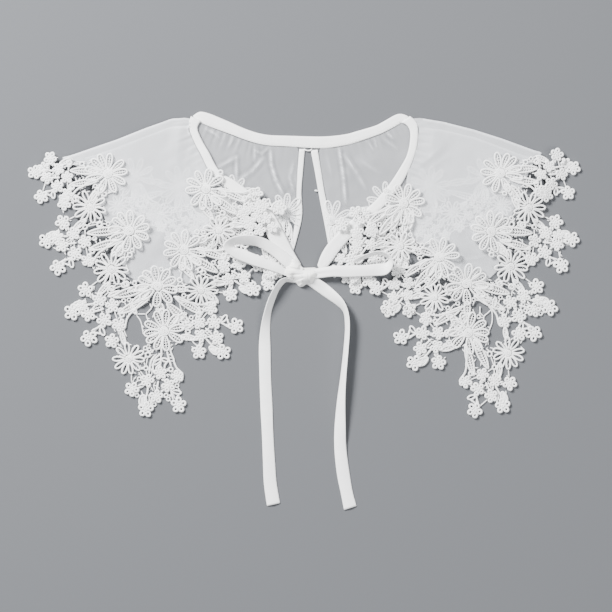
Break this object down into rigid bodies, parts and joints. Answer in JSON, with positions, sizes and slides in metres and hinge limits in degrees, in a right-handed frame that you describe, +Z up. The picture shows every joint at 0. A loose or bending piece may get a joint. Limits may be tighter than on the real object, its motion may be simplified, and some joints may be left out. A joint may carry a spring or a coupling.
{
  "type": "lace collar",
  "caption": "Sheer false collar laid flat, with an openwork flower lace border, a bound neck with a back slit, and narrow neck ribbons tied in a bow.",
  "frame": {"origin": "middle of the footprint, on the surface that the collar lies on", "axes": "+X to the right as seen from above with the bow in front, +Y towards the back neck, +Z up from the surface"},
  "size_m": [0.4538, 0.3266, 0.0167],
  "materials": {
    "organza": "sheer crisp plain weave, slightly glossy, white",
    "lace_thread": "matt white embroidery thread, densely stitched",
    "ribbon": "soft white satin tape"
  },
  "bodies": {
    "root": {"back_lace_left": "lace_thread", "back_lace_right": "lace_thread", "front_lace_left": "lace_thread", "front_lace_right": "lace_thread", "back_panel_left": "organza", "back_panel_right": "organza", "front_panel_left": "organza", "front_panel_right": "organza", "neck_binding_back": "ribbon", "neck_binding_front_left": "ribbon", "neck_binding_front_right": "ribbon", "slit_binding_left": "ribbon", "slit_binding_right": "ribbon", "bow_knot": "ribbon", "bow_loop_left": "ribbon", "bow_loop_right": "ribbon", "tie_tail_left": "ribbon", "tie_tail_right": "ribbon"}
  },
  "joints": []
}
